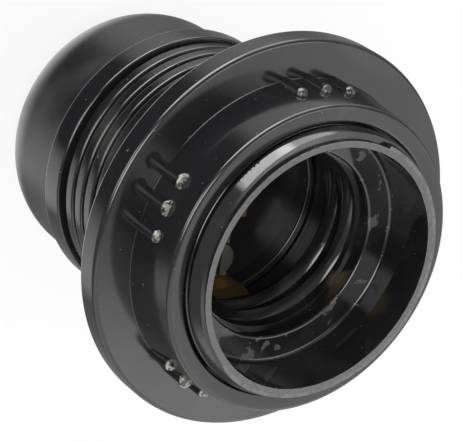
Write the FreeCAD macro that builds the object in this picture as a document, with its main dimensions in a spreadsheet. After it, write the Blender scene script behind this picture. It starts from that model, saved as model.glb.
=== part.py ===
"""Lamp holder for an Edison screw lamp, with a shade ring, in moulded phenolic.

The part stands on the end of its rear cap, where the cable comes in, with its mouth up.
The origin is the centre of that end face, and +Z runs along the lamp's axis to the mouth.
From the back: the domed rear cap, the contact carrier that sits on the cap's spigot with its
contacts and terminals, the threaded shell that holds the lamp, and the shade ring on the shell.
"""
import FreeCAD, Part
import math
import os
from types import SimpleNamespace

import Sketcher

Vector = FreeCAD.Vector
Rotation = FreeCAD.Rotation
Placement = FreeCAD.Placement
UP = Vector(0, 0, 1)
TINY = 1e-4

# Driving dimensions in millimetres, angles in degrees.
DIMENSIONS = (
    ("overall_length", 58.0, "cap's end face to the mouth"),
    # threaded shell
    ("shell_length", 39.7, "mouth to the shell's rear face"),
    ("barrel_dia", 39.5, "over the crests of the shade thread"),
    ("mouth_rim_dia", 38.0, "outside of the mouth's flat rim"),
    ("mouth_lead", 0.9, "length of the lead-in cone at the mouth"),
    ("mouth_bore_dia", 35.3, "wide bore round the lamp's neck"),
    ("mouth_bore_depth", 8.7, "mouth to the bore's floor"),
    ("throat_dia", 27.7, "plain throat in front of the lamp thread"),
    ("throat_length", 2.6, "length of the throat"),
    ("lamp_thread_dia", 26.9, "over the roots of the lamp thread"),
    ("lamp_thread_length", 7.3, "two turns of the lamp thread"),
    ("chamber_dia", 30.0, "contact chamber behind the lamp thread"),
    ("chamber_length", 5.4, "length of the contact chamber"),
    ("shell_bore_dia", 34.6, "rear bore that takes the carrier and the spigot"),
    ("rear_rim_dia", 40.8, "plain rim at the shell's rear"),
    ("rear_rim_width", 3.9, "length of the plain rim"),
    ("rim_round", 0.4, "rounding of the rims"),
    ("groove_lead", 2.85, "mouth to the middle of the shade thread's first groove"),
    ("groove_tail", 2.95, "middle of its last groove to the plain rim"),
    ("groove_depth", 0.75, "depth of the shade thread"),
    ("groove_width", 1.18, "width of a groove at the crests"),
    ("groove_root_width", 0.3, "width of a groove at its root"),
    ("groove_count", 13, "turns of the shade thread"),
    # rear cap
    ("cap_dia", 38.3, "cap at its shoulder"),
    ("cap_foot_dia", 38.1, "cap before its end is rounded"),
    ("cap_round", 9.8, "radius of the domed end"),
    ("cap_floor", 3.2, "thickness of the end wall"),
    ("cap_hollow_dia", 30.4, "wiring space"),
    ("cap_hollow_round", 7.0, "radius at the bottom of the wiring space"),
    ("entry_dia", 9.1, "cable entry, tapped for a thin tube"),
    ("entry_boss_dia", 14.6, "boss round the entry"),
    ("entry_boss_height", 9.0, "end face to the top of the boss"),
    ("entry_chamfer", 0.6, "chamfer at the entry"),
    ("spigot_length", 5.2, "part of the cap inside the shell"),
    ("spigot_clearance", 0.15, "spigot to shell, on the radius"),
    ("joint_gap", 0.2, "cap's shoulder to the shell's rear face"),
    ("lug_width", 3.0, "lugs that stop the carrier turning"),
    ("lug_height", 1.5, "height of the lugs"),
    ("lug_depth", 1.4, "radial depth of the lugs"),
    # shade ring
    ("ring_clearance", 0.2, "shade ring to barrel, on the radius"),
    ("ring_setback", 2.8, "mouth to the collar's front face"),
    ("collar_dia", 45.1, "collar at its front"),
    ("collar_root_dia", 46.5, "collar where it meets the flange"),
    ("collar_height", 8.4, "collar's front to the flange"),
    ("flange_dia", 57.4, "over the flange"),
    ("flange_thickness", 3.8, "flange at its edge"),
    ("flange_dish", 0.3, "rise of the flange's front towards the collar"),
    ("flange_round", 0.6, "rounding of the flange's edges"),
    ("collar_round", 0.5, "rounding of the collar's front edge"),
    ("ring_chamfer", 0.5, "chamfer at both ends of the ring's bore"),
    ("rib_round", 0.95, "radius of a finger rib"),
    ("rib_length", 4.8, "length of a rib from the flange"),
    ("rib_step_angle", 10.0, "angle between ribs in a group"),
    ("rib_groups", 5, "groups of three ribs"),
    ("rib_angle", -5.0, "angle of the first group"),
    # contact carrier
    ("carrier_dia", 34.0, "carrier"),
    ("carrier_gap", 0.1, "carrier's front to the shell's shoulder"),
    ("locating_rim_dia", 29.4, "outside of the raised rim in the chamber"),
    ("locating_rim_height", 0.6, "height of the raised rim"),
    ("dish_dia", 27.6, "dish that holds the contacts"),
    ("dish_depth", 2.0, "carrier's front to the dish's floor"),
    ("web_thickness", 4.5, "floor between contacts and terminals"),
    ("terminal_well_dia", 29.4, "hollow behind the web"),
    ("partition_width", 2.0, "wall between the two terminals"),
    ("partition_angle", 115.0, "angle of that wall"),
    ("partition_relief", 0.3, "partition stops short of the rear rim"),
    ("lug_play", 0.15, "notch round each lug"),
    # contacts
    ("contact_circle_dia", 18.0, "circle that all the screws stand on"),
    ("contact_width", 5.6, "width of the contact strips"),
    ("contact_thickness", 0.5, "brass strip"),
    ("backing_thickness", 0.3, "steel strip under the centre contact"),
    ("foot_overhang", 3.1, "strip past its screw"),
    ("centre_foot", 3.4, "screw to the centre contact's bend"),
    ("centre_rise", 2.9, "height of the centre contact over its foot"),
    ("centre_run", 4.4, "length of its slope along the floor"),
    ("centre_tip", 3.2, "length of its flat tip"),
    ("backing_setback", 0.2, "its bend past the centre contact's"),
    ("backing_rise", 1.3, "height of the backing spring"),
    ("backing_run", 2.6, "length of its slope"),
    ("backing_tip", 1.0, "length of its tip"),
    ("tongue_dia", 26.2, "circle of the side contact's outer face at its foot"),
    ("tongue_height", 5.0, "dish's floor to the tongue's working point"),
    ("tongue_lean", 0.6, "how far the working point leans in"),
    ("tongue_flare", 0.7, "how far the top flares out again"),
    ("tongue_top", 1.6, "height of the flare"),
    ("bend_radius", 0.5, "inside radius of the bends"),
    # contact screws and terminals
    ("contact_screw_dia", 3.0, "screws that hold the contacts"),
    ("contact_head_dia", 5.5, "their heads"),
    ("contact_head_height", 1.7, "height of their heads"),
    ("screw_hole_play", 0.2, "clearance holes, on the radius"),
    ("tapped_play", 0.04, "tapped holes, on the radius"),
    ("plate_length", 14.6, "terminal plate"),
    ("plate_width", 6.6, "its width"),
    ("plate_thickness", 1.5, "its thickness"),
    ("terminal_angle", 50.0, "terminal screw from its contact screw, round the axis"),
    ("terminal_screw_dia", 3.5, "wire screws"),
    ("terminal_head_dia", 6.2, "their heads"),
    ("terminal_head_height", 2.2, "height of their heads"),
    ("terminal_screw_reach", 2.6, "end of the screw past the plate"),
    ("terminal_bore_dia", 4.4, "relief in the web for the screw's end"),
    ("terminal_bore_depth", 3.4, "depth of that relief"),
    ("clamp_side", 6.4, "square clamp washer"),
    ("clamp_thickness", 0.8, "its thickness"),
    ("spring_washer_dia", 5.8, "spring washer"),
    ("spring_washer_thickness", 0.8, "its thickness"),
    ("spring_washer_gap", 0.8, "its split"),
    ("seat_play", 0.05, "between pieces of a screw stack"),
    ("slot_width", 0.9, "screwdriver slots"),
    ("slot_depth", 0.9, "their depth"),
)


class Size:
    """A number from the sheet with the expression that binds a feature to it."""

    def __init__(self, number, text):
        self.number = number
        self.text = text

    def joined(self, sign, number, other):
        return Size(number, f"({self.text} {sign} {as_size(other).text})")

    def __add__(self, other):
        return self.joined("+", self.number + as_size(other).number, other)

    def __sub__(self, other):
        return self.joined("-", self.number - as_size(other).number, other)

    def __mul__(self, other):
        return self.joined("*", self.number * as_size(other).number, other)

    def __truediv__(self, other):
        return self.joined("/", self.number / as_size(other).number, other)

    def __neg__(self):
        return Size(-self.number, f"(0 - {self.text})")

    def sine(self):
        return Size(math.sin(math.radians(self.number)), f"sin({self.text} * 1deg)")

    def cosine(self):
        return Size(math.cos(math.radians(self.number)), f"cos({self.text} * 1deg)")


def as_size(value):
    return value if isinstance(value, Size) else Size(float(value), f"{float(value):g}")


def make_sheet(doc):
    """Fill the spreadsheet and return its dimensions as bound sizes."""
    sheet = doc.addObject("Spreadsheet::Sheet", "Sizes")
    sizes = {}
    for row, (alias, number, note) in enumerate(DIMENSIONS, start=1):
        sheet.set(f"A{row}", note)
        sheet.set(f"B{row}", str(number))
        sheet.setAlias(f"B{row}", alias)
        sizes[alias] = Size(float(number), f"Sizes.{alias}")
    return SimpleNamespace(**sizes)


def bind(thing, prop, size):
    thing.setExpression(prop, as_size(size).text)


# ---- sketches and features ------------------------------------------------


def new_sketch(body, name, role, height=0, turn=0):
    """A sketch on one of the body's own planes, lifted and turned about the plane's normal."""
    plane = next(f for f in body.Origin.OriginFeatures if f.Role == role)
    sketch = body.newObject("Sketcher::SketchObject", name)
    sketch.AttachmentSupport = (plane, [""])
    sketch.MapMode = "FlatFace"
    height, turn = as_size(height), as_size(turn)
    sketch.AttachmentOffset = Placement(Vector(0, 0, height.number), Rotation(UP, turn.number))
    bind(sketch, "AttachmentOffset.Base.z", height)
    if turn.number:
        bind(sketch, "AttachmentOffset.Rotation.Angle", turn)
    return sketch


def place_point(sketch, line, end, x, y):
    """Tie one end of a line, or a circle's centre, to its bound place."""
    for kind, size in (("DistanceX", as_size(x)), ("DistanceY", as_size(y))):
        at = sketch.addConstraint(Sketcher.Constraint(kind, -1, 1, line, end, size.number))
        bind(sketch, f"Constraints[{at}]", size)


def closed_lines(sketch, points):
    """Join numeric points into a closed run of lines."""
    first = sketch.GeometryCount
    count = len(points)
    for i in range(count):
        start, end = Vector(*points[i], 0), Vector(*points[(i + 1) % count], 0)
        sketch.addGeometry(Part.LineSegment(start, end), False)
    for i in range(count):
        following = first + (i + 1) % count
        sketch.addConstraint(Sketcher.Constraint("Coincident", first + i, 2, following, 1))
    return first


def outline(body, name, role, corners, height=0, turn=0):
    """A closed outline through corners, each given as two sizes."""
    sketch = new_sketch(body, name, role, height, turn)
    corners = [(as_size(x), as_size(y)) for x, y in corners]
    first = closed_lines(sketch, [(x.number, y.number) for x, y in corners])
    for i, (x, y) in enumerate(corners):
        place_point(sketch, first + i, 1, x, y)
    return sketch


def box_corners(x_low, x_high, y_low, y_high):
    return [(x_low, y_low), (x_high, y_low), (x_high, y_high), (x_low, y_high)]


def circles(body, name, spots, radius, height=0, turn=0):
    """Circles of one radius on the XY plane, at bound centres."""
    sketch = new_sketch(body, name, "XY_Plane", height, turn)
    for x, y in spots:
        x, y = as_size(x), as_size(y)
        centre = Vector(x.number, y.number, 0)
        circle = sketch.addGeometry(Part.Circle(centre, UP, radius.number), False)
        place_point(sketch, circle, 3, x, y)
        at = sketch.addConstraint(Sketcher.Constraint("Radius", circle, radius.number))
        bind(sketch, f"Constraints[{at}]", radius)
    return sketch


def revolve(body, sketch, kind="Revolution"):
    """Turn a section round the axis, to add it or, as a Groove, to cut it away."""
    feature = body.newObject(f"PartDesign::{kind}", f"{sketch.Name}Turned")
    feature.Profile = sketch
    feature.ReferenceAxis = (sketch, ["V_Axis"])
    feature.Angle = 360
    return feature


def extrude(body, kind, sketch, length, symmetric=False):
    """A Pad or a Pocket. A pad goes up from its sketch, and a pocket goes down from it."""
    feature = body.newObject(f"PartDesign::{kind}", f"{sketch.Name}{kind}")
    feature.Profile = sketch
    feature.SideType = "Symmetric" if symmetric else "One side"
    bind(feature, "Length", length)
    return feature


def pad(body, sketch, length, symmetric=False):
    return extrude(body, "Pad", sketch, length, symmetric)


def pocket(body, sketch, length):
    """Cut downwards from the sketch, and make sure that something was cut."""
    body.Document.recompute()
    before = body.Shape.Volume
    feature = extrude(body, "Pocket", sketch, length)
    body.Document.recompute()
    if body.Shape.Volume >= before:
        raise RuntimeError(f"{feature.Name} cuts nothing")
    return feature


def upright_axis(body):
    return next(f for f in body.Origin.OriginFeatures if f.Role == "Z_Axis")


def polar(body, feature, count):
    """Repeat a feature evenly round the body's Z axis."""
    pattern = body.newObject("PartDesign::PolarPattern", f"{feature.Name}Ring")
    pattern.Originals = [feature]
    pattern.Axis = (upright_axis(body), [""])
    pattern.Angle = 360
    bind(pattern, "Occurrences", count)
    body.Tip = pattern
    return pattern


def stack(body, feature, height, count):
    """Repeat a feature evenly upwards, the last one at a given height above the first."""
    pattern = body.newObject("PartDesign::LinearPattern", f"{feature.Name}Stack")
    pattern.Originals = [feature]
    pattern.Direction = (upright_axis(body), [""])
    bind(pattern, "Length", height)
    bind(pattern, "Occurrences", count)
    body.Tip = pattern
    return pattern


def ring_edges(shape, radius, level):
    """Names of the full circles of this radius about Z at this level."""
    names = []
    for i, edge in enumerate(shape.Edges, start=1):
        curve = edge.Curve
        if not isinstance(curve, Part.Circle) or abs(curve.Radius - radius.number) > TINY:
            continue
        if abs(curve.Center.z - level.number) < TINY and abs(curve.Center.x) < TINY:
            names.append(f"Edge{i}")
    return names


def soften(body, kind, rings, size):
    """A Fillet or Chamfer on circular edges, each given by its radius and level."""
    body.Document.recompute()
    base = body.Tip
    names = [name for radius, level in rings for name in ring_edges(base.Shape, radius, level)]
    if len(names) < len(rings):
        raise RuntimeError(f"{body.Label} lacks an edge to soften")
    feature = body.newObject(f"PartDesign::{kind}", f"{base.Name}{kind}")
    feature.Base = (base, names)
    bind(feature, "Radius" if kind == "Fillet" else "Size", size)
    return feature


def new_body(doc, name):
    body = doc.addObject("PartDesign::Body", name)
    body.Label = name
    return body


def put(body, x=0, y=0, z=0, axis=UP, angle=0):
    """Place a finished body, with its position bound to the sheet."""
    x, y, z, angle = as_size(x), as_size(y), as_size(z), as_size(angle)
    spot = Vector(x.number, y.number, z.number)
    body.Placement = Placement(spot, Rotation(axis, angle.number))
    for letter, size in zip("xyz", (x, y, z)):
        bind(body, f"Placement.Base.{letter}", size)
    bind(body, "Placement.Rotation.Angle", angle)


# ---- levels that several pieces share --------------------------------------


def make_levels(d):
    """Heights and radii that pieces share, all from the driving dimensions."""
    at = SimpleNamespace()
    at.mouth = d.overall_length
    at.bore_floor = at.mouth - d.mouth_bore_depth
    at.throat_floor = at.bore_floor - d.throat_length
    at.thread_end = at.throat_floor - d.lamp_thread_length
    at.shoulder = at.thread_end - d.chamber_length
    at.shell_end = at.mouth - d.shell_length
    at.cap_shoulder = at.shell_end - d.joint_gap
    at.spigot_top = at.cap_shoulder + d.spigot_length
    at.spigot_radius = d.shell_bore_dia / 2 - d.spigot_clearance
    at.carrier_front = at.shoulder - d.carrier_gap
    at.dish_floor = at.carrier_front - d.dish_depth
    at.web_back = at.dish_floor - d.web_thickness
    at.plate_back = at.web_back - d.plate_thickness
    at.screw_circle = d.contact_circle_dia / 2
    at.collar_front = at.mouth - d.ring_setback
    at.collar_root = at.collar_front - d.collar_height
    at.flange_front = at.collar_root - d.flange_dish
    at.flange_back = at.flange_front - d.flange_thickness
    at.ring_bore = d.barrel_dia / 2 + d.ring_clearance
    return at


# ---- moulded pieces ---------------------------------------------------------


def make_rear_cap(doc, d, at):
    """The domed cap: a cup with a spigot that screws into the shell, and the cable's boss."""
    body = new_body(doc, "rear_cap")
    zero = as_size(0)
    foot, wall, hollow = d.cap_foot_dia / 2, d.cap_dia / 2, d.cap_hollow_dia / 2
    entry, boss = d.entry_dia / 2, d.entry_boss_dia / 2
    section = outline(body, "CapSection", "XZ_Plane", [
        (foot, zero), (wall, at.cap_shoulder),
        (at.spigot_radius, at.cap_shoulder), (at.spigot_radius, at.spigot_top),
        (hollow, at.spigot_top), (hollow, d.cap_floor),
        (boss, d.cap_floor), (boss, d.entry_boss_height),
        (entry, d.entry_boss_height), (entry, zero),
    ])
    revolve(body, section)
    soften(body, "Fillet", [(foot, zero)], d.cap_round)
    soften(body, "Fillet", [(hollow, d.cap_floor)], d.cap_hollow_round)
    soften(body, "Fillet", [(wall, at.cap_shoulder)], d.rim_round)
    soften(body, "Chamfer", [(entry, zero), (entry, d.entry_boss_height)], d.entry_chamfer)
    rim_middle = (at.spigot_radius + hollow) / 2
    lug = outline(body, "Lug", "XY_Plane", box_corners(
        rim_middle - d.lug_depth / 2, rim_middle + d.lug_depth / 2,
        -d.lug_width / 2, d.lug_width / 2), height=at.spigot_top - d.lug_height)
    polar(body, pad(body, lug, d.lug_height * 2), 2)
    return body


def make_threaded_shell(doc, d, at):
    """The shell: a wide mouth, the lamp's thread behind it and a bore for the carrier and cap.

    The shade thread outside is drawn as a stack of grooves, each one turn of it.
    """
    body = new_body(doc, "threaded_shell")
    barrel, rim = d.barrel_dia / 2, d.rear_rim_dia / 2
    rim_front = at.shell_end + d.rear_rim_width
    lip, mouth_bore = d.mouth_rim_dia / 2, d.mouth_bore_dia / 2
    throat, thread = d.throat_dia / 2, d.lamp_thread_dia / 2
    chamber, bore = d.chamber_dia / 2, d.shell_bore_dia / 2
    section = outline(body, "ShellSection", "XZ_Plane", [
        (bore, at.shell_end), (rim, at.shell_end), (rim, rim_front), (barrel, rim_front),
        (barrel, at.mouth - d.mouth_lead), (lip, at.mouth), (mouth_bore, at.mouth),
        (mouth_bore, at.bore_floor), (throat, at.bore_floor), (throat, at.throat_floor),
        (thread, at.throat_floor), (thread, at.thread_end), (chamber, at.thread_end),
        (chamber, at.shoulder), (bore, at.shoulder),
    ])
    revolve(body, section)
    soften(body, "Fillet", [(rim, at.shell_end), (rim, rim_front)], d.rim_round)
    soften(body, "Fillet", [(throat, at.bore_floor)], d.rim_round)
    lowest = rim_front + d.groove_tail
    root_half, open_half = d.groove_root_width / 2, d.groove_width - d.groove_root_width / 2
    groove = outline(body, "ThreadGroove", "XZ_Plane", [
        (barrel - d.groove_depth, lowest - root_half), (barrel + d.groove_depth, lowest - open_half),
        (barrel + d.groove_depth, lowest + open_half), (barrel - d.groove_depth, lowest + root_half),
    ])
    stack(body, revolve(body, groove, "Groove"), at.mouth - d.groove_lead - lowest, d.groove_count)
    return body


def make_shade_ring(doc, d, at):
    """The ring that clamps a shade: a collar with groups of finger ribs on a thick flange."""
    body = new_body(doc, "shade_ring")
    flange, root, front = d.flange_dia / 2, d.collar_root_dia / 2, d.collar_dia / 2
    section = outline(body, "RingSection", "XZ_Plane", [
        (at.ring_bore, at.flange_back), (flange, at.flange_back), (flange, at.flange_front),
        (root, at.collar_root), (front, at.collar_front), (at.ring_bore, at.collar_front),
    ])
    revolve(body, section)
    soften(body, "Fillet", [(flange, at.flange_back), (flange, at.flange_front)], d.flange_round)
    soften(body, "Fillet", [(front, at.collar_front)], d.collar_round)
    soften(body, "Chamfer", [(at.ring_bore, at.flange_back), (at.ring_bore, at.collar_front)],
           d.ring_chamfer)
    rib_circle = (root + front) / 2
    for number, side in enumerate((-1, 0, 1), start=1):
        rib = circles(body, f"Rib{number}", [(rib_circle, 0)], d.rib_round,
                      height=at.flange_front, turn=d.rib_angle + d.rib_step_angle * side)
        polar(body, pad(body, rib, d.rib_length + d.flange_dish), d.rib_groups)
    return body


def make_contact_carrier(doc, d, at):
    """The moulded insert: a dish for the contacts in front, two wells for the terminals behind."""
    body = new_body(doc, "contact_carrier")
    side, well = d.carrier_dia / 2, d.terminal_well_dia / 2
    rim, dish = d.locating_rim_dia / 2, d.dish_dia / 2
    rim_top = at.carrier_front + d.locating_rim_height
    section = outline(body, "CarrierSection", "XZ_Plane", [
        (0, at.web_back), (well, at.web_back), (well, at.spigot_top), (side, at.spigot_top),
        (side, at.carrier_front), (rim, at.carrier_front), (rim, rim_top), (dish, rim_top),
        (dish, at.dish_floor), (0, at.dish_floor),
    ])
    revolve(body, section)
    soften(body, "Fillet", [(dish, rim_top)], d.locating_rim_height / 2)
    partition_low = at.spigot_top + d.partition_relief
    wall = outline(body, "Partition", "XY_Plane", box_corners(
        -d.partition_width / 2, d.partition_width / 2, -well - 0.2, well + 0.2),
        height=partition_low, turn=d.partition_angle - 90)
    pad(body, wall, at.web_back - partition_low + 0.2)
    clear = d.contact_screw_dia / 2 + d.screw_hole_play
    hole = circles(body, "ContactHole", [(at.screw_circle, 0)], clear, height=at.dish_floor)
    polar(body, pocket(body, hole, d.web_thickness), 2)
    relief = circles(body, "TerminalRelief", [(at.screw_circle, 0)], d.terminal_bore_dia / 2,
                     height=at.web_back + d.terminal_bore_depth, turn=d.terminal_angle)
    polar(body, pocket(body, relief, d.terminal_bore_depth), 2)
    notch = outline(body, "Notch", "XY_Plane", box_corners(
        well - 0.5, side + 0.5, -d.lug_width / 2 - d.lug_play, d.lug_width / 2 + d.lug_play),
        height=at.spigot_top + d.lug_height + d.lug_play)
    polar(body, pocket(body, notch, d.lug_height + d.lug_play), 2)
    return body


# ---- strips, screws and terminals -------------------------------------------


def offset_points(points, thickness):
    """Where the other face of a strip lies, so that its sketch starts close to its answer."""
    normals = []
    for start, end in zip(points, points[1:]):
        run = Vector(end[0] - start[0], end[1] - start[1], 0).normalize()
        normals.append(Vector(-run.y, run.x, 0))
    moved = []
    for i, point in enumerate(points):
        before, after = normals[max(i - 1, 0)], normals[min(i, len(normals) - 1)]
        middle = (before + after).normalize()
        step = middle * (thickness / middle.dot(after))
        moved.append((point[0] + step.x, point[1] + step.y))
    return moved


def cross_edges(shape, spots):
    """Names of the straight edges along Y that pass through these points of the XZ plane."""
    names = []
    for i, edge in enumerate(shape.Edges, start=1):
        one, other = edge.Vertexes[0].Point, edge.Vertexes[-1].Point
        if abs(one.x - other.x) > TINY or abs(one.z - other.z) > TINY:
            continue
        if any(abs(one.x - s.x) < TINY and abs(one.z - s.y) < TINY for s in spots):
            names.append(f"Edge{i}")
    return names


def round_bends(body, sketch, count, thickness, bend):
    """Round the inside of each bend by its radius, and the outside by that and the thickness."""
    inside, outside = [], []
    lines = sketch.Geometry
    for i in range(1, count - 1):
        before, here, after = (lines[k].StartPoint for k in (i - 1, i, i + 1))
        turns_up = (here - before).cross(after - here).z > 0
        lower, upper = here, lines[2 * count - 1 - i].StartPoint
        inside.append(upper if turns_up else lower)
        outside.append(lower if turns_up else upper)
    for spots, radius in ((inside, bend), (outside, bend + thickness)):
        base = body.Tip
        feature = body.newObject("PartDesign::Fillet", f"{base.Name}Bend")
        feature.Base = (base, cross_edges(base.Shape, spots))
        bind(feature, "Radius", radius)
        body.Document.recompute()


def bent_strip(doc, name, run, thickness, d, at):
    """A strip of sheet metal with a screw hole, bent at each point of a run and of one thickness.

    The run is the strip's first face, and the other is drawn parallel to it, piece by piece.
    """
    body = new_body(doc, name)
    sketch = new_sketch(body, "StripSide", "XZ_Plane")
    run = [(as_size(x), as_size(z)) for x, z in run]
    first_face = [(x.number, z.number) for x, z in run]
    closed_lines(sketch, first_face + offset_points(first_face, thickness.number)[::-1])
    count = len(run)
    for i, (x, z) in enumerate(run):
        place_point(sketch, i, 1, x, z)
    for i in range(count - 1):
        twin = 2 * count - 2 - i
        sketch.addConstraint(Sketcher.Constraint("Parallel", i, twin))
        gap = sketch.addConstraint(Sketcher.Constraint("Distance", twin, 1, i, thickness.number))
        bind(sketch, f"Constraints[{gap}]", thickness)
    for end, segment in ((count - 1, count - 2), (2 * count - 1, 0)):
        sketch.addConstraint(Sketcher.Constraint("Perpendicular", end, segment))
    pad(body, sketch, d.contact_width, symmetric=True)
    doc.recompute()
    round_bends(body, sketch, count, thickness, d.bend_radius)
    foot = min(z.number for x, z in run)
    foot = next(z for x, z in run if z.number == foot)
    hole = circles(body, "ScrewHole", [(at.screw_circle, 0)],
                   d.contact_screw_dia / 2 + d.screw_hole_play, height=foot + thickness)
    pocket(body, hole, thickness * 2)
    return body


def make_contacts(doc, d, at):
    """The centre contact on its backing spring, and the side contact with its tongue."""
    outer_end = at.screw_circle + d.foot_overhang
    bend = at.screw_circle - d.centre_foot
    slope_top = bend - d.centre_run
    foot = at.dish_floor + d.backing_thickness
    peak = foot + d.centre_rise
    bent_strip(doc, "centre_contact", [
        (slope_top - d.centre_tip, peak), (slope_top, peak), (bend, foot), (outer_end, foot),
    ], d.contact_thickness, d, at)
    backing_bend = bend - d.backing_setback
    backing_top = backing_bend - d.backing_run
    backing_peak = at.dish_floor + d.backing_rise
    bent_strip(doc, "contact_backing_spring", [
        (backing_top - d.backing_tip, backing_peak), (backing_top, backing_peak),
        (backing_bend, at.dish_floor), (outer_end, at.dish_floor),
    ], d.backing_thickness, d, at)
    tongue = d.tongue_dia / 2
    working = at.dish_floor + d.tongue_height
    side = bent_strip(doc, "side_contact", [
        (at.screw_circle - d.foot_overhang, at.dish_floor), (tongue, at.dish_floor),
        (tongue - d.tongue_lean, working),
        (tongue - d.tongue_lean + d.tongue_flare, working + d.tongue_top),
    ], d.contact_thickness, d, at)
    put(side, angle=180)


def slotted_screw(doc, name, shank_dia, head_dia, head_height, length, d):
    """A cheese-head screw, drawn with its head's face on the XY plane and its shank upwards."""
    body = new_body(doc, name)
    head, shank = head_dia / 2, shank_dia / 2
    section = outline(body, "ScrewSection", "XZ_Plane", [
        (0, 0), (head, 0), (head, head_height), (shank, head_height),
        (shank, head_height + length), (0, head_height + length),
    ])
    revolve(body, section)
    soften(body, "Chamfer", [(head, as_size(0)), (shank, head_height + length)], shank_dia / 12)
    slot = outline(body, "Slot", "XY_Plane", box_corners(
        -head_dia, head_dia, -d.slot_width / 2, d.slot_width / 2), height=d.slot_depth)
    pocket(body, slot, d.slot_depth)
    return body


def make_contact_screws(doc, d, at):
    """The two screws that clamp a contact to the web and run into its terminal plate."""
    for name, strips, x in (
        ("centre_contact_screw", d.backing_thickness + d.contact_thickness, at.screw_circle),
        ("side_contact_screw", d.contact_thickness, -at.screw_circle),
    ):
        seat = at.dish_floor + strips + d.seat_play
        screw = slotted_screw(doc, name, d.contact_screw_dia, d.contact_head_dia,
                              d.contact_head_height, seat - at.plate_back - d.seat_play, d)
        put(screw, x=x, z=seat + d.contact_head_height, axis=Vector(1, 0, 0), angle=180)


def terminal_plate(doc, name, d, at):
    """A brass bar with two tapped holes, one for its contact's screw and one for the wire's."""
    body = new_body(doc, name)
    middle = (d.terminal_angle / 2).sine() * at.screw_circle
    bar = outline(body, "Bar", "XY_Plane", box_corners(
        -d.plate_length / 2, d.plate_length / 2, -d.plate_width / 2, d.plate_width / 2))
    pad(body, bar, d.plate_thickness)
    for label, x, dia in (("ContactTap", -middle, d.contact_screw_dia),
                          ("WireTap", middle, d.terminal_screw_dia)):
        hole = circles(body, label, [(x, 0)], dia / 2 + d.tapped_play, height=d.plate_thickness)
        pocket(body, hole, d.plate_thickness)
    return body


def clamp_washer(doc, name, d):
    """A square washer that presses the wire on the plate."""
    body = new_body(doc, name)
    half = d.clamp_side / 2
    pad(body, outline(body, "Square", "XY_Plane", box_corners(-half, half, -half, half)),
        d.clamp_thickness)
    hole = circles(body, "Hole", [(0, 0)], d.terminal_screw_dia / 2 + d.screw_hole_play,
                   height=d.clamp_thickness)
    pocket(body, hole, d.clamp_thickness)
    return body


def spring_washer(doc, name, d):
    """A split ring under the wire screw's head."""
    body = new_body(doc, name)
    bore = d.terminal_screw_dia / 2 + d.screw_hole_play
    rim = d.spring_washer_dia / 2
    revolve(body, outline(body, "RingSection", "XZ_Plane", box_corners(
        bore, rim, 0, d.spring_washer_thickness)))
    split = outline(body, "Split", "XY_Plane", box_corners(
        bore / 2, rim * 2, -d.spring_washer_gap / 2, d.spring_washer_gap / 2),
        height=d.spring_washer_thickness)
    pocket(body, split, d.spring_washer_thickness)
    return body


def make_terminals(doc, d, at):
    """For each pole: its plate under the web, and below it the washers and the wire's screw."""
    half_turn = d.terminal_angle / 2
    plate_radius = half_turn.cosine() * at.screw_circle
    clamp_low = at.plate_back - d.seat_play - d.clamp_thickness
    spring_low = clamp_low - d.seat_play - d.spring_washer_thickness
    head_low = spring_low - d.seat_play - d.terminal_head_height
    shank = at.web_back + d.terminal_screw_reach - head_low - d.terminal_head_height
    right_angle = math.degrees(math.pi / 2)
    for pole, side in (("live", 1), ("neutral", -1)):
        plate_turn = half_turn + right_angle * side
        plate = terminal_plate(doc, f"{pole}_terminal_plate", d, at)
        put(plate, half_turn.cosine() * plate_radius * side, half_turn.sine() * plate_radius * side,
            at.plate_back, angle=plate_turn)
        x = d.terminal_angle.cosine() * at.screw_circle * side
        y = d.terminal_angle.sine() * at.screw_circle * side
        put(clamp_washer(doc, f"{pole}_clamp_washer", d), x, y, clamp_low, angle=plate_turn)
        put(spring_washer(doc, f"{pole}_spring_washer", d), x, y, spring_low, angle=plate_turn)
        put(slotted_screw(doc, f"{pole}_terminal_screw", d.terminal_screw_dia, d.terminal_head_dia,
                          d.terminal_head_height, shank, d), x, y, head_low)


# ---- build, check and write --------------------------------------------------


def check(doc, bodies):
    """Stop if any object failed or any piece is not one valid solid."""
    for thing in doc.Objects:
        if "Invalid" in thing.State or "Error" in thing.State:
            raise RuntimeError(f"{thing.Label} failed: {thing.State}")
    for body in bodies:
        shape = body.Shape
        if shape.isNull() or not shape.isValid() or len(shape.Solids) != 1:
            raise RuntimeError(f"{body.Label} is not one valid solid")


doc = FreeCAD.newDocument("LampHolder")
d = make_sheet(doc)
doc.recompute()
at = make_levels(d)
make_rear_cap(doc, d, at)
make_threaded_shell(doc, d, at)
make_shade_ring(doc, d, at)
make_contact_carrier(doc, d, at)
make_contacts(doc, d, at)
make_contact_screws(doc, d, at)
make_terminals(doc, d, at)
doc.recompute()

bodies = [thing for thing in doc.Objects if thing.TypeId == "PartDesign::Body"]
check(doc, bodies)
os.makedirs("parts", exist_ok=True)
for body in bodies:
    body.Shape.exportStep(f"parts/{body.Label}.step")
    print(f"{body.Label}: {body.Shape.Volume / 1000:.2f} cm3")
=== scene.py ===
"""A black moulded lamp holder with a shade ring: its looks, floor, light and camera.

Sizes are in millimetres, in the part's own frame: the cap's end face stands on z = 0 and the
mouth looks up. Every piece is made in millimetres and brought to metres as it is finished.
"""

import math

import bmesh
import bpy
from mathutils import Matrix, Vector, noise


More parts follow.
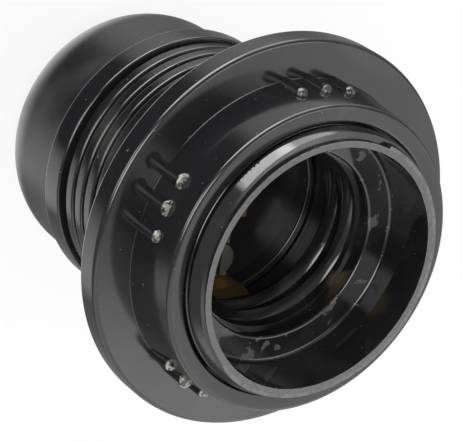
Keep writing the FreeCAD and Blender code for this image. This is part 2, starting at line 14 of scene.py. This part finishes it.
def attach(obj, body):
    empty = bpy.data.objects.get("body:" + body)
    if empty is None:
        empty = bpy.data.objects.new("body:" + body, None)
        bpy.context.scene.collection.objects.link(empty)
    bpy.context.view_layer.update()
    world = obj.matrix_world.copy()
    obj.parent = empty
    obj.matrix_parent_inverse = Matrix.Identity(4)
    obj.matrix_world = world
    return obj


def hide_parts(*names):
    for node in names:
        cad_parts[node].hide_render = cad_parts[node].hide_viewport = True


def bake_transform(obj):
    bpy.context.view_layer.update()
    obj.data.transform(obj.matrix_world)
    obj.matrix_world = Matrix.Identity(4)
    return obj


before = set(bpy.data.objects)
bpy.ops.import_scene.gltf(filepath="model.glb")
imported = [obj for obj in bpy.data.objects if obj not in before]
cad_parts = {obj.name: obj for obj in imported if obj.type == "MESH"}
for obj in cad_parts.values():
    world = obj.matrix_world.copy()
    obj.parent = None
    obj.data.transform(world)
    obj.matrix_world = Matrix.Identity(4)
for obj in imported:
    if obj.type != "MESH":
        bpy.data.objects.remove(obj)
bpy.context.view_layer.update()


# ---- rear cap ---------------------------------------------------------------
# A domed cup of black phenolic moulding, pressed hot and then broken out of its mould with a
# little flash left at the split. It screws into the shell's rear and carries the cable's boss.

MM = 0.001
STEPS = 180


def lathe(outline, rounds):
    """Turn a closed outline of (radius, height) corners round the axis, and round some of them."""
    bm = bmesh.new()
    ring = [bm.verts.new((radius, 0, height)) for radius, height in outline]
    lines = [bm.edges.new(pair) for pair in zip(ring, ring[1:] + ring[:1])]
    bmesh.ops.spin(bm, geom=ring + lines, cent=(0, 0, 0), axis=(0, 0, 1),
                   angle=math.tau, steps=STEPS, use_merge=True)
    bmesh.ops.remove_doubles(bm, verts=bm.verts, dist=0.0005)
    bmesh.ops.recalc_face_normals(bm, faces=bm.faces)
    for corner, (size, segments) in rounds.items():
        bmesh.ops.bevel(bm, geom=rim_edges(bm, *corner), offset=size, affect="EDGES",
                        segments=segments, profile=0.5, material=-1)
    return bm


def rim_edges(bm, radius, height):
    """The ring of edges that passes through one corner of a turned piece."""
    def on_rim(vert):
        return (abs(vert.co.z - height) < 0.001
                and abs(vert.co.xy.length - radius) < 0.001)
    return [edge for edge in bm.edges if all(on_rim(vert) for vert in edge.verts)]


def round_frame(place):
    """The outward and the sideways direction at one place round the axis."""
    out = Vector((place.x, place.y, 0)).normalized()
    return out, Vector((-out.y, out.x, 0))


def shade_as_turned(mesh, sharp):
    """Give every corner the slope of its smooth neighbours, taken at its own angle round the axis.

    A turned piece then shines as if it were truly round, however its faces were cut.
    """
    slopes, weights = [], []
    around = [[] for _ in mesh.vertices]
    for face in mesh.polygons:
        out, aside = round_frame(face.center)
        slopes.append(Vector((face.normal.dot(out), face.normal.dot(aside), face.normal.z)))
        weights.append(face.area)
        for vertex in face.vertices:
            around[vertex].append(face.index)
    limit = math.cos(math.radians(sharp))
    normals = []
    for face in mesh.polygons:
        own = slopes[face.index]
        for vertex in face.vertices:
            slope = Vector((0, 0, 0))
            for other in around[vertex]:
                if slopes[other].dot(own) > limit:
                    slope += slopes[other] * weights[other]
            if not slope.length:
                slope = own
            out, aside = round_frame(mesh.vertices[vertex].co)
            normals.append((out * slope.x + aside * slope.y
                            + Vector((0, 0, slope.z))).normalized())
    mesh.normals_split_custom_set(normals)


def finish(bm, name, materials, sharp=32, turned=True):
    """Bring a piece to metres, shade it, give it its materials and put it in the scene."""
    bmesh.ops.scale(bm, vec=(MM, MM, MM), verts=bm.verts)
    mesh = bpy.data.meshes.new(name)
    bm.to_mesh(mesh)
    bm.free()
    mesh.polygons.foreach_set("use_smooth", [True] * len(mesh.polygons))
    if turned:
        shade_as_turned(mesh, sharp)
    else:
        mesh.set_sharp_from_angle(angle=math.radians(sharp))
    for material in materials:
        mesh.materials.append(material)
    piece = bpy.data.objects.new(name, mesh)
    bpy.context.scene.collection.objects.link(piece)
    return piece


class Socket:
    """One output in a material's tree, on which Python's own signs add Math nodes."""

    def __init__(self, tree, output):
        self.tree = tree
        self.output = output

    def maths(self, operation, *others):
        values = {number: value for number, value in enumerate((self,) + others)}
        return add_node(self.tree, "ShaderNodeMath", {"operation": operation}, values)

    def __add__(self, other):
        return self.maths("ADD", other)

    __radd__ = __add__

    def __mul__(self, other):
        return self.maths("MULTIPLY", other)

    __rmul__ = __mul__

    def __sub__(self, other):
        return self.maths("SUBTRACT", other)

    def __rsub__(self, other):
        return add_node(self.tree, "ShaderNodeMath", {"operation": "SUBTRACT"}, {0: other, 1: self})

    def __truediv__(self, other):
        return self.maths("DIVIDE", other)

    def __pow__(self, other):
        return self.maths("POWER", other)

    def step(self, low, high):
        """0 below low, 1 above high, and smooth between them."""
        return add_node(self.tree, "ShaderNodeMapRange", {"interpolation_type": "SMOOTHSTEP"},
                        {"Value": self, "From Min": low, "From Max": high})


def add_node(tree, kind, settings=None, values=None, output=0):
    """Add a node, with its settings first and then the values or links of its inputs.

    It gives back the node's named or numbered output, or nothing where it has none.
    """
    node = tree.nodes.new(kind)
    for name, value in (settings or {}).items():
        setattr(node, name, value)
    for key, value in (values or {}).items():
        if isinstance(value, Socket):
            tree.links.new(value.output, node.inputs[key])
        else:
            node.inputs[key].default_value = value
    return Socket(tree, node.outputs[output]) if node.outputs else None


def new_material(name):
    """An empty material, and the place on the piece in metres."""
    material = bpy.data.materials.new(name)
    material.use_nodes = True
    material.node_tree.nodes.clear()
    return material, add_node(material.node_tree, "ShaderNodeTexCoord", output="Object")


def show(surface):
    """Make a shader the material's surface."""
    add_node(surface.tree, "ShaderNodeOutputMaterial", {}, {"Surface": surface})


def grain(place, scale, detail=2.0, distortion=0.0):
    """Even noise from 0 to 1, with the given number of grains to a metre."""
    return add_node(place.tree, "ShaderNodeTexNoise", {}, {
        "Vector": place, "Scale": scale, "Detail": detail, "Distortion": distortion})


def mix_colour(factor, first, second):
    """One colour where the factor is 0, and the other where it is 1."""
    return add_node(factor.tree, "ShaderNodeMix", {"data_type": "RGBA"},
                    {"Factor": factor, 6: first, 7: second}, output=2)


def split(place):
    """The three coordinates of a place and its distance from the axis, in millimetres."""
    x, y, z = (add_node(place.tree, "ShaderNodeSeparateXYZ", {}, {"Vector": place}, output=number)
               / MM for number in range(3))
    return x, y, z, (x * x + y * y) ** 0.5


def bump(place, height, strength, distance):
    """A bent normal from a height between 0 and 1."""
    return add_node(place.tree, "ShaderNodeBump", {},
                    {"Height": height, "Strength": strength, "Distance": distance})


BLACK = (0.010, 0.010, 0.011, 1)
DUST = (0.17, 0.16, 0.145, 1)


def phenolic(name, roughness=0.07, worn=None):
    """Hard black moulding: glossy, faintly uneven, with specks of dust and light handling marks."""
    material, place = new_material(name)
    speck = grain(place, 1500, detail=1.0).step(0.75, 0.8)
    haze = grain(place, 90, detail=3.0).step(0.35, 0.75)
    uneven = grain(place, 260, detail=2.0)
    smudge = grain(place, 45, detail=6.0, distortion=0.8).step(0.52, 0.7)
    colour = mix_colour(speck * 0.4 + smudge * 0.14, BLACK, DUST)
    rough = roughness + haze * 0.05 + speck * 0.3 + smudge * 0.12
    if worn is not None:
        mask, tone = worn(place)
        colour = mix_colour(mask, colour, tone)
        rough = rough + mask * 0.45
    show(add_node(place.tree, "ShaderNodeBsdfPrincipled", {}, {
        "Base Color": colour, "Roughness": rough, "IOR": 1.62,
        "Normal": bump(place, uneven, 0.2, 0.00006)}))
    return material


CAP_RADIUS, CAP_FOOT, CAP_SHOULDER, CAP_END_ROUND = 19.15, 19.05, 18.1, 9.8
SPIGOT_RADIUS, SPIGOT_TOP = 17.15, 23.3
HOLLOW_RADIUS, HOLLOW_FLOOR, HOLLOW_ROUND = 15.2, 3.2, 7.0
ENTRY_RADIUS, BOSS_RADIUS, BOSS_TOP = 4.55, 7.3, 9.0

cap = lathe([
    (CAP_FOOT, 0), (CAP_RADIUS, CAP_SHOULDER), (SPIGOT_RADIUS, CAP_SHOULDER),
    (SPIGOT_RADIUS, SPIGOT_TOP), (HOLLOW_RADIUS, SPIGOT_TOP), (HOLLOW_RADIUS, HOLLOW_FLOOR),
    (BOSS_RADIUS, HOLLOW_FLOOR), (BOSS_RADIUS, BOSS_TOP), (ENTRY_RADIUS, BOSS_TOP),
    (ENTRY_RADIUS, 0),
], {
    (CAP_FOOT, 0): (CAP_END_ROUND, 28),
    (HOLLOW_RADIUS, HOLLOW_FLOOR): (HOLLOW_ROUND, 12),
    (CAP_RADIUS, CAP_SHOULDER): (0.4, 4),
    (SPIGOT_RADIUS, SPIGOT_TOP): (0.3, 3),
    (BOSS_RADIUS, BOSS_TOP): (0.3, 3),
    (ENTRY_RADIUS, 0): (0.6, 3),
    (ENTRY_RADIUS, BOSS_TOP): (0.4, 3),
})
rear_cap = finish(cap, "domed_cap", [phenolic("cap_phenolic", roughness=0.26)])
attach(rear_cap, "cap_and_carrier")
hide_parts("rear_cap")


# ---- threaded shell ---------------------------------------------------------
# One moulding of the same black phenolic: the mouth, the lamp's round thread and the bore that
# takes the carrier. The shade ring's thread runs from the mouth, where it starts bluntly.

MOUTH = 58.0
ROOT_RADIUS, CREST_RADIUS, RIM_RADIUS = 18.55, 19.75, 20.4
SHELL_END, RIM_FRONT = 18.3, 22.2
MOUTH_BORE, THROAT, LAMP_ROOT, CHAMBER, REAR_BORE = 17.65, 13.85, 13.45, 15.0, 17.3
BORE_FLOOR, THROAT_FLOOR, THREAD_END, SHOULDER = 49.3, 46.7, 39.4, 34.0


def thread(section, end_angle, end, turns, pitch):
    """A bar wound right-handed round the axis, up to a height and an angle in degrees."""
    bm = bmesh.new()
    turn = Matrix.Rotation(math.radians(end_angle - 360 * turns), 4, "Z")
    low = end - pitch * turns
    ring = [bm.verts.new(turn @ Vector((radius, 0, low + height))) for radius, height in section]
    lines = [bm.edges.new(pair) for pair in zip(ring, ring[1:] + ring[:1])]
    bmesh.ops.spin(bm, geom=ring + lines, cent=(0, 0, 0), axis=(0, 0, 1),
                   dvec=(0, 0, pitch / STEPS), angle=math.tau * turns, steps=round(STEPS * turns))
    bmesh.ops.holes_fill(bm, edges=bm.edges, sides=0)
    bmesh.ops.recalc_face_normals(bm, faces=bm.faces)
    return bm


def helix_edges(bm, radius, far=0.01):
    """The long edges of a wound bar that lie on one cylinder."""
    return [edge for edge in bm.edges
            if all(abs(vert.co.xy.length - radius) < far for vert in edge.verts)
            and abs(edge.verts[0].co.z - edge.verts[1].co.z) < 0.2]


def combine(base, tool, operation):
    """Join one closed piece to another, or cut it out, and give back the result."""
    objects = []
    for label, bm in (("base", base), ("tool", tool)):
        mesh = bpy.data.meshes.new(label)
        bm.to_mesh(mesh)
        bm.free()
        objects.append(bpy.data.objects.new(label, mesh))
        bpy.context.scene.collection.objects.link(objects[-1])
    work, other = objects
    boolean = work.modifiers.new("combine", "BOOLEAN")
    boolean.operation = operation
    boolean.solver = "EXACT"
    boolean.object = other
    result = bmesh.new()
    result.from_object(work, bpy.context.evaluated_depsgraph_get())
    for used in objects:
        mesh = used.data
        bpy.data.objects.remove(used)
        bpy.data.meshes.remove(mesh)
    bmesh.ops.remove_doubles(result, verts=result.verts, dist=0.0005)
    return result


def cut_level(bm, height):
    """Cut off what stands above a height, and close the cut."""
    cut = bmesh.ops.bisect_plane(bm, geom=bm.verts[:] + bm.edges[:] + bm.faces[:],
                                 plane_co=(0, 0, height), plane_no=(0, 0, 1), clear_outer=True)
    rim = [item for item in cut["geom_cut"] if isinstance(item, bmesh.types.BMEdge)]
    bmesh.ops.triangle_fill(bm, edges=rim, normal=(0, 0, 1), use_beauty=True)


shell = lathe([
    (REAR_BORE, SHELL_END), (RIM_RADIUS, SHELL_END), (RIM_RADIUS, RIM_FRONT),
    (ROOT_RADIUS, RIM_FRONT), (ROOT_RADIUS, MOUTH + 1), (MOUTH_BORE, MOUTH + 1),
    (MOUTH_BORE, BORE_FLOOR), (THROAT, BORE_FLOOR), (THROAT, THROAT_FLOOR),
    (LAMP_ROOT, THROAT_FLOOR), (LAMP_ROOT, THREAD_END), (CHAMBER, THREAD_END),
    (CHAMBER, SHOULDER), (REAR_BORE, SHOULDER),
], {
    (RIM_RADIUS, SHELL_END): (0.4, 4), (RIM_RADIUS, RIM_FRONT): (0.35, 4),
    (THROAT, BORE_FLOOR): (0.4, 4), (MOUTH_BORE, BORE_FLOOR): (0.5, 4),
    (LAMP_ROOT, THREAD_END): (0.3, 3),
})
SHADE_PITCH, SHADE_TURNS, SHADE_END_ANGLE, SHADE_END = 2.5, 14.5, -27.0, MOUTH + 0.24
SUNK = 0.5
shade_thread = thread([
    (ROOT_RADIUS - SUNK, -1.17), (ROOT_RADIUS, -1.15), (CREST_RADIUS, -0.9), (CREST_RADIUS, 0.9),
    (ROOT_RADIUS, 1.15), (ROOT_RADIUS - SUNK, 1.17),
], SHADE_END_ANGLE, SHADE_END, SHADE_TURNS, SHADE_PITCH)
bmesh.ops.bevel(shade_thread, geom=helix_edges(shade_thread, CREST_RADIUS), offset=0.3,
                affect="EDGES", segments=4, profile=0.5, material=-1)

# The thread's first turn is tapered, so that the ring finds its way on to it.
LEAD_START, LEAD_RADIUS = 55.8, 18.85
lead_limit = lathe([
    (17, 20), (24, 20), (24, LEAD_START - 2), (CREST_RADIUS + 0.02, LEAD_START),
    (LEAD_RADIUS, MOUTH + 0.3), (LEAD_RADIUS - 0.4, MOUTH + 2), (17, MOUTH + 2),
], {})
shade_thread = combine(shade_thread, lead_limit, "INTERSECT")
shell = combine(shell, shade_thread, "UNION")

LAMP_PITCH, LAMP_TURNS, LAMP_END_ANGLE, LAMP_END = 3.63, 1.9, 60.0, 46.0
lamp_thread = thread([
    (LAMP_ROOT + SUNK, -1.5), (LAMP_ROOT, -1.35), (LAMP_ROOT - 0.6, -0.75), (LAMP_ROOT - 0.95, 0),
    (LAMP_ROOT - 0.6, 0.75), (LAMP_ROOT, 1.35), (LAMP_ROOT + SUNK, 1.5),
], LAMP_END_ANGLE, LAMP_END, LAMP_TURNS, LAMP_PITCH)
shell = combine(shell, lamp_thread, "UNION")
cut_level(shell, MOUTH)


BARE = (0.13, 0.13, 0.128, 1)


def worn_mouth(place):
    """The face that was ground flat, dull and nicked at its rims, and chips round the bore's foot."""
    z, radius = split(place)[2:]
    face = z.step(MOUTH - 0.08, MOUTH - 0.02)
    mottle = grain(place, 2600, detail=4.0).step(0.3, 0.7)
    outer_rim = radius.step(ROOT_RADIUS - 0.2, ROOT_RADIUS - 0.05)
    inner_rim = 1 - radius.step(MOUTH_BORE + 0.01, MOUTH_BORE + 0.11)
    nicks = (outer_rim * grain(place, 900, detail=3.0).step(0.42, 0.56)
             + inner_rim * grain(place, 700, detail=3.0).step(0.5, 0.6))
    bore_foot = (z.step(BORE_FLOOR - 0.4, BORE_FLOOR)
                 * (1 - z.step(BORE_FLOOR + 0.5, BORE_FLOOR + 1.1))
                 * (1 - radius.step(MOUTH_BORE + 0.1, MOUTH_BORE + 0.2)))
    chip = grain(place, 420, detail=3.0, distortion=0.4).step(0.62, 0.66)
    return face * (0.4 + mottle * 0.2 + nicks * 0.4) + bore_foot * chip * 0.6, BARE


shell_piece = finish(shell, "shell_moulding", [phenolic("shell_phenolic", worn=worn_mouth)])
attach(shell_piece, "shell")
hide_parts("threaded_shell")


# ---- shade ring -------------------------------------------------------------
# The ring that screws along the shell and clamps a lampshade. Groups of three finger ribs stand
# on its collar, and their front ends were broken off rough when it left the mould.

RING_BORE, COLLAR_ROOT, COLLAR_FRONT, FLANGE = 19.95, 23.25, 22.55, 28.7
RING_FRONT, COLLAR_FOOT, FLANGE_FRONT, FLANGE_BACK = 55.2, 46.8, 46.5, 42.7
RIB_RADIUS, RIB_CIRCLE, RIB_TOP, RIB_STEP, RIB_FIRST = 0.95, 22.9, 51.6, 10.0, -5.0

ring = lathe([
    (RING_BORE, FLANGE_BACK), (FLANGE, FLANGE_BACK), (FLANGE, FLANGE_FRONT),
    (COLLAR_ROOT, COLLAR_FOOT), (COLLAR_FRONT, RING_FRONT), (RING_BORE, RING_FRONT),
], {
    (FLANGE, FLANGE_BACK): (0.6, 5), (FLANGE, FLANGE_FRONT): (0.6, 5),
    (COLLAR_FRONT, RING_FRONT): (0.5, 4), (RING_BORE, FLANGE_BACK): (0.5, 2),
    (RING_BORE, RING_FRONT): (0.5, 2), (COLLAR_ROOT, COLLAR_FOOT): (0.15, 2),
})


def finger_rib(angle, knob):
    """One rib: a bar with a tight round at its foot and a knobbly front end, knob times as wide."""
    rib = bmesh.new()
    place = Matrix.Rotation(math.radians(angle), 4, "Z") @ Matrix.Translation((RIB_CIRCLE, 0, 0))
    top = RIB_TOP - RIB_RADIUS
    foot = FLANGE_FRONT + 0.12
    foot_spread = 1.22
    bmesh.ops.create_icosphere(rib, subdivisions=4, radius=RIB_RADIUS,
                               matrix=Matrix.Translation((0, 0, top)))
    low = [vert for vert in rib.verts if vert.co.z < top - 0.001]
    bmesh.ops.delete(rib, geom=low, context="VERTS")
    rim = [edge for edge in rib.edges if edge.is_boundary]
    for drop, spread in ((foot, 1.0), (foot - 0.22, foot_spread), (foot - 1, foot_spread)):
        drawn = bmesh.ops.extrude_edge_only(rib, edges=rim)["geom"]
        rim = [item for item in drawn if isinstance(item, bmesh.types.BMEdge)]
        for vert in {vert for edge in rim for vert in edge.verts}:
            flat = vert.co.xy.normalized() * RIB_RADIUS * spread
            vert.co = (flat.x, flat.y, drop)
    bmesh.ops.holes_fill(rib, edges=rib.edges, sides=0)
    for vert in rib.verts:
        above = vert.co.z - top
        if above > 0.05:
            vert.co += noise.noise_vector((place @ vert.co) * 2.3) * 0.2 * min(above, 0.5)
            vert.co.xy *= knob
            vert.co.z = min(vert.co.z, top + RIB_RADIUS / knob ** 2)
    bmesh.ops.transform(rib, matrix=place, verts=rib.verts)
    bmesh.ops.recalc_face_normals(rib, faces=rib.faces)
    return rib


GROUPS = 5
TORN = {(1, -1), (1, 0), (2, 0)}
BREAK_SEED = 3
noise.seed_set(BREAK_SEED)
ribs = bmesh.new()
for group in range(GROUPS):
    for side in (-1, 0, 1):
        single = bpy.data.meshes.new("rib")
        knob = 1.3 if (group, side) in TORN else 1.0
        made = finger_rib(RIB_FIRST + 360 / GROUPS * group + RIB_STEP * side, knob)
        made.to_mesh(single)
        made.free()
        ribs.from_mesh(single)
        bpy.data.meshes.remove(single)
ring = combine(ring, ribs, "UNION")


FILLER = (0.42, 0.4, 0.34, 1)


def broken_ribs(place):
    """The ribs' broken ends: pale, grainy filler shows where the skin is gone, most on one side."""
    y, z, radius = split(place)[1:]
    end = z.step(RIB_TOP - 0.75, RIB_TOP - 0.5) * radius.step(RIB_CIRCLE, RIB_CIRCLE + 0.1)
    torn_side = 0.12 + y.step(8, 12) * 0.6
    lump = grain(place, 1300, detail=4.0, distortion=0.6).step(0.42, 0.56)
    return end * torn_side * lump, FILLER


ring_piece = finish(ring, "ring_moulding",
                    [phenolic("ring_phenolic", roughness=0.12, worn=broken_ribs)])
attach(ring_piece, "ring")
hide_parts("shade_ring")


# ---- contact carrier, contacts and terminals --------------------------------
# A duller moulding that holds the contacts in front and the terminals behind. The contacts are
# sprung brass strips, and their screws run into brass bars that take the wires.


def metal(name, colour, roughness):
    """Plain worked metal with a faint grain."""
    material, place = new_material(name)
    show(add_node(place.tree, "ShaderNodeBsdfPrincipled", {}, {
        "Base Color": colour, "Metallic": 1.0,
        "Roughness": roughness + grain(place, 700, detail=3.0) * 0.15}))
    return material


STRIP_WIDTH, STRIP_STEP, STRIP_END = 5.6, 0.45, 12.1


def bent_strip(run, thickness):
    """A strip of sheet metal whose lower face follows a run of (x, z) points."""
    bm = bmesh.new()
    x, z = run[0]
    edge = bm.edges.new([bm.verts.new((x, side * STRIP_WIDTH / 2, z)) for side in (-1, 1)])
    for start, end in zip(run, run[1:]):
        leg = Vector((end[0] - start[0], 0, end[1] - start[1]))
        count = max(1, round(leg.length / STRIP_STEP))
        for _ in range(count):
            drawn = bmesh.ops.extrude_edge_only(bm, edges=[edge])["geom"]
            verts = [item for item in drawn if isinstance(item, bmesh.types.BMVert)]
            bmesh.ops.translate(bm, verts=verts, vec=leg / count)
            edge = next(item for item in drawn if isinstance(item, bmesh.types.BMEdge)
                        and set(item.verts) == set(verts))
    bm.faces.ensure_lookup_table()
    bm.normal_update()
    if bm.faces[0].normal.z > 0:    # the sheet grows thick away from where its faces point
        bmesh.ops.reverse_faces(bm, faces=bm.faces)
    bmesh.ops.solidify(bm, geom=bm.faces[:], thickness=thickness)
    bmesh.ops.recalc_face_normals(bm, faces=bm.faces)
    corners = [edge for edge in bm.edges if edge.calc_face_angle(0) > math.radians(70)]
    bmesh.ops.bevel(bm, geom=corners, offset=0.06, affect="EDGES", segments=2, profile=0.5,
                    material=-1)
    return bm


# The brass is given a much darker colour than bright brass: painted shade for the contacts deep in
# the bore.
brass = metal("brass_with_painted_shade", (0.36, 0.25, 0.1, 1), 0.38)
spring_steel = metal("blued_spring_steel", (0.2, 0.2, 0.21, 1), 0.35)
centre_strip = finish(
    bent_strip([(STRIP_END, 32.2), (5.7, 32.2), (1.25, 35.1), (-2.0, 35.1)], 0.5),
    "sprung_tongue", [brass], turned=False)
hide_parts("centre_contact")
backing_strip = finish(
    bent_strip([(STRIP_END, 31.9), (5.5, 31.9), (2.85, 33.2), (1.8, 33.2)], 0.3),
    "tongue_backing", [spring_steel], turned=False)
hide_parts("contact_backing_spring")
for strip in (centre_strip, backing_strip):
    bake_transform(strip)

# The side contact keeps its own shape, and bends in front of its clamped foot.
side_shape = bmesh.new()
side_shape.from_mesh(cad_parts["side_contact"].data)
bmesh.ops.scale(side_shape, vec=(1 / MM, 1 / MM, 1 / MM), verts=side_shape.verts)
bmesh.ops.remove_doubles(side_shape, verts=side_shape.verts, dist=0.0005)
side_strip = finish(side_shape, "sprung_side_tongue", [brass], turned=False)
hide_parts("side_contact")
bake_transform(side_strip)

# The screws' steel is given a dark colour: painted shade for the screw heads deep in the bore.
screw_steel_with_painted_shade = metal("screw_steel_darkened_as_shade", (0.2, 0.195, 0.18, 1), 0.38)
finishes = {
    "contact_carrier": phenolic("carrier_moulding", roughness=0.2),
    "live_terminal_plate": brass, "neutral_terminal_plate": brass,
}
for node_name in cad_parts:
    if "screw" in node_name or "washer" in node_name:
        finishes[node_name] = screw_steel_with_painted_shade
for node_name, material in finishes.items():
    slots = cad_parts[node_name].data.materials
    slots.clear()
    slots.append(material)


# ---- camera -----------------------------------------------------------------
# It looks down into the mouth, turned on its own axis as a camera held above a table is.

AIM = Vector((-1.361, 0.987, 37.287)) * MM
DISTANCE = 349.975 * MM
AZIMUTH, ELEVATION, ROLL = (math.radians(angle) for angle in (54.063, 48.05, 125.49))

back = Vector((math.cos(ELEVATION) * math.cos(AZIMUTH), math.cos(ELEVATION) * math.sin(AZIMUTH),
               math.sin(ELEVATION)))
level = Vector((0, 0, 1)).cross(back).normalized()
upright = back.cross(level)
right = math.cos(ROLL) * level + math.sin(ROLL) * upright
up = math.cos(ROLL) * upright - math.sin(ROLL) * level
camera_data = bpy.data.cameras.new("camera")
camera_data.lens = 194.8
camera_data.sensor_width = 36
camera_data.clip_start = 0.01
camera = bpy.data.objects.new("camera", camera_data)
camera.matrix_world = (Matrix.Translation(AIM + back * DISTANCE)
                       @ Matrix((right, up, back)).transposed().to_4x4())
bpy.context.scene.collection.objects.link(camera)
bpy.context.scene.camera = camera


# ---- floor and light --------------------------------------------------------
# A pale table under a tent of white paper with a dark side, and soft lamps that shine through
# the paper and give the black moulding its long reflections.


def toward(longitude, latitude):
    """A direction in the part's frame from angles to the camera's right and above its axis."""
    across, over = math.radians(longitude), math.radians(latitude)
    return (math.cos(over) * math.sin(across) * right + math.cos(over) * math.cos(across) * back
            + math.sin(over) * up)


def tent(tree, direction):
    """How bright the tent is in one direction, where 1 is white."""
    def lobe(longitude, latitude, inner, outer):
        """A round patch: 1 within one angle of its middle, and 0 beyond another."""
        spot = tuple(toward(longitude, latitude))
        dot = add_node(tree, "ShaderNodeVectorMath", {"operation": "DOT_PRODUCT"},
                       {0: direction, 1: spot}, output="Value")
        return dot.step(math.cos(math.radians(outer)), math.cos(math.radians(inner)))

    below, above, dark_side = lobe(0, -90, 44, 52), lobe(95, 75, 30, 50), lobe(-98, 30, 28, 42)
    paper = (0.4 + below * 1.2 + above * 0.8) * (1 - dark_side * 0.9) + lobe(103, -30, 24, 30) * 1.3
    front_lamps = (lobe(0, -10, 13, 19) * 7.5 + lobe(-40, 9, 10, 17) * 5
                   + lobe(60, -8, 10, 22) * 3)
    top_lamps = lobe(-22, 60, 19, 27) * 8 + lobe(70, 76, 16, 26) * 4
    back_lamps = lobe(-148, 20, 14, 34) * 1.5 + lobe(-120, -2, 8, 20) * 1.2
    return paper + front_lamps + top_lamps + back_lamps


world = bpy.data.worlds.new("tent")
bpy.context.scene.world = world
world.use_nodes = True
sky = world.node_tree
sky.nodes.clear()
direction = add_node(sky, "ShaderNodeTexCoord", output="Generated")
seen = add_node(sky, "ShaderNodeLightPath", output="Is Camera Ray")
brightness = tent(sky, direction) * (1 - seen) + seen
background = add_node(sky, "ShaderNodeBackground", {}, {"Strength": brightness})
add_node(sky, "ShaderNodeOutputWorld", {}, {"Surface": background})

FLOOR_SIZE = 3000
floor = bmesh.new()
bmesh.ops.create_grid(floor, x_segments=1, y_segments=1, size=FLOOR_SIZE / 2)
floor_material = new_material("pale_table")[0]
tree = floor_material.node_tree
seen = add_node(tree, "ShaderNodeLightPath", output="Is Camera Ray")
paint = add_node(tree, "ShaderNodeBsdfDiffuse", {}, {"Color": (0.8, 0.8, 0.8, 1)})
white = add_node(tree, "ShaderNodeEmission", {}, {"Strength": 1.0})
show(add_node(tree, "ShaderNodeMixShader", {}, {0: seen * 0.85, 1: paint, 2: white}))
floor_piece = finish(floor, "table", [floor_material])
floor_piece.visible_glossy = False


bpy.context.scene.view_settings.view_transform = "Standard"
